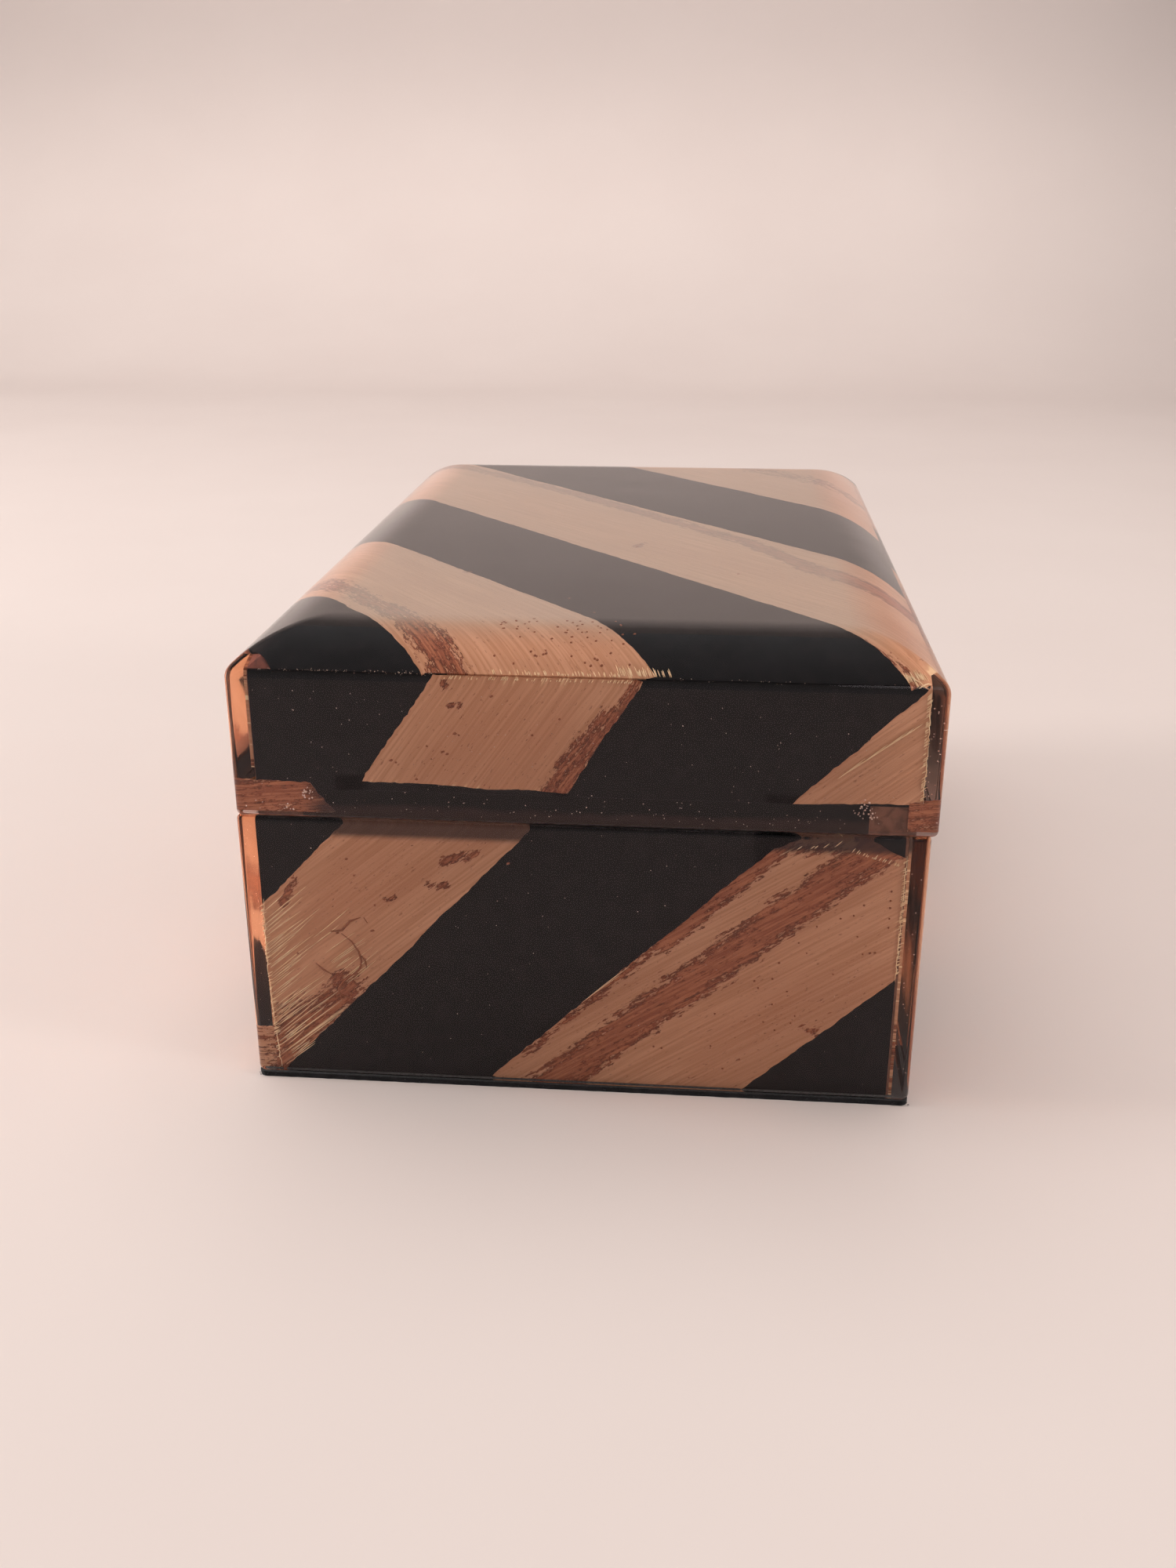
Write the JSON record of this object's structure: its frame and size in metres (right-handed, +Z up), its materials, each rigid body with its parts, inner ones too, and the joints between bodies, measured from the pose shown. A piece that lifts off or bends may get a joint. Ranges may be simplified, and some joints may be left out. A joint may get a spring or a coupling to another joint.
{
  "type": "dice box with hinged lid",
  "caption": "Small oblong keepsake box with a pillow-topped hinged lid, dressed with slanting pale bark and black strips under clear amber resin.",
  "frame": {"origin": "on the surface the box stands on, under the middle of the lid", "axes": "+X across the box towards the side that opens, -X the hinged long side, -Y the short end shown, +Z up"},
  "size_m": [0.1027, 0.156, 0.072],
  "materials": {
    "amber_resin": "clear amber polyester casting resin, sanded and polished",
    "banana_bark": "dried banana bark strips under resin, fine fibres along the strip with brown stains",
    "black_card": "black-dyed card strips under resin",
    "softwood": "planed light wood boards, oiled",
    "black_felt": "black felt",
    "brass": "polished brass, slightly tarnished"
  },
  "bodies": {
    "base": {"base_bottom_board": "softwood", "base_far_end_bark_strips": "banana_bark", "base_far_end_black_strips": "black_card", "base_far_end_board": "softwood", "base_far_end_lining": "black_felt", "base_floor_lining": "black_felt", "base_hinge_screws": "brass", "base_hinge_side_bark_strips": "banana_bark", "base_hinge_side_black_strips": "black_card", "base_hinge_side_board": "softwood", "base_hinge_side_lining": "black_felt", "base_near_end_bark_strips": "banana_bark", "base_near_end_black_strips": "black_card", "base_near_end_board": "softwood", "base_near_end_lining": "black_felt", "base_opening_side_bark_strips": "banana_bark", "base_opening_side_black_strips": "black_card", "base_opening_side_board": "softwood", "base_opening_side_lining": "black_felt", "base_resin_coat": "amber_resin", "far_hinge_base_leaf": "brass", "far_hinge_pin": "brass", "near_hinge_base_leaf": "brass", "near_hinge_pin": "brass", "underside_felt": "black_felt"},
    "lid": {"far_hinge_lid_leaf": "brass", "lid_ceiling_lining": "black_felt", "lid_far_end_bark_strips": "banana_bark", "lid_far_end_black_strips": "black_card", "lid_far_end_board": "softwood", "lid_far_end_lining": "black_felt", "lid_hinge_screws": "brass", "lid_hinge_side_bark_strips": "banana_bark", "lid_hinge_side_black_strips": "black_card", "lid_hinge_side_board": "softwood", "lid_hinge_side_lining": "black_felt", "lid_near_end_bark_strips": "banana_bark", "lid_near_end_black_strips": "black_card", "lid_near_end_board": "softwood", "lid_near_end_lining": "black_felt", "lid_opening_side_bark_strips": "banana_bark", "lid_opening_side_black_strips": "black_card", "lid_opening_side_board": "softwood", "lid_opening_side_lining": "black_felt", "lid_resin_shell": "amber_resin", "lid_rim_bands": "black_card", "lid_top_bark_strips": "banana_bark", "lid_top_black_strips": "black_card", "lid_top_board": "softwood", "near_hinge_lid_leaf": "brass"}
  },
  "joints": [
    {"name": "lid_hinge", "type": "hinge", "parent": "base", "child": "lid", "pos_m": [-0.0504, 0, 0.0445], "axis": [0, -1, 0], "range_deg": [0, 95]}
  ]
}
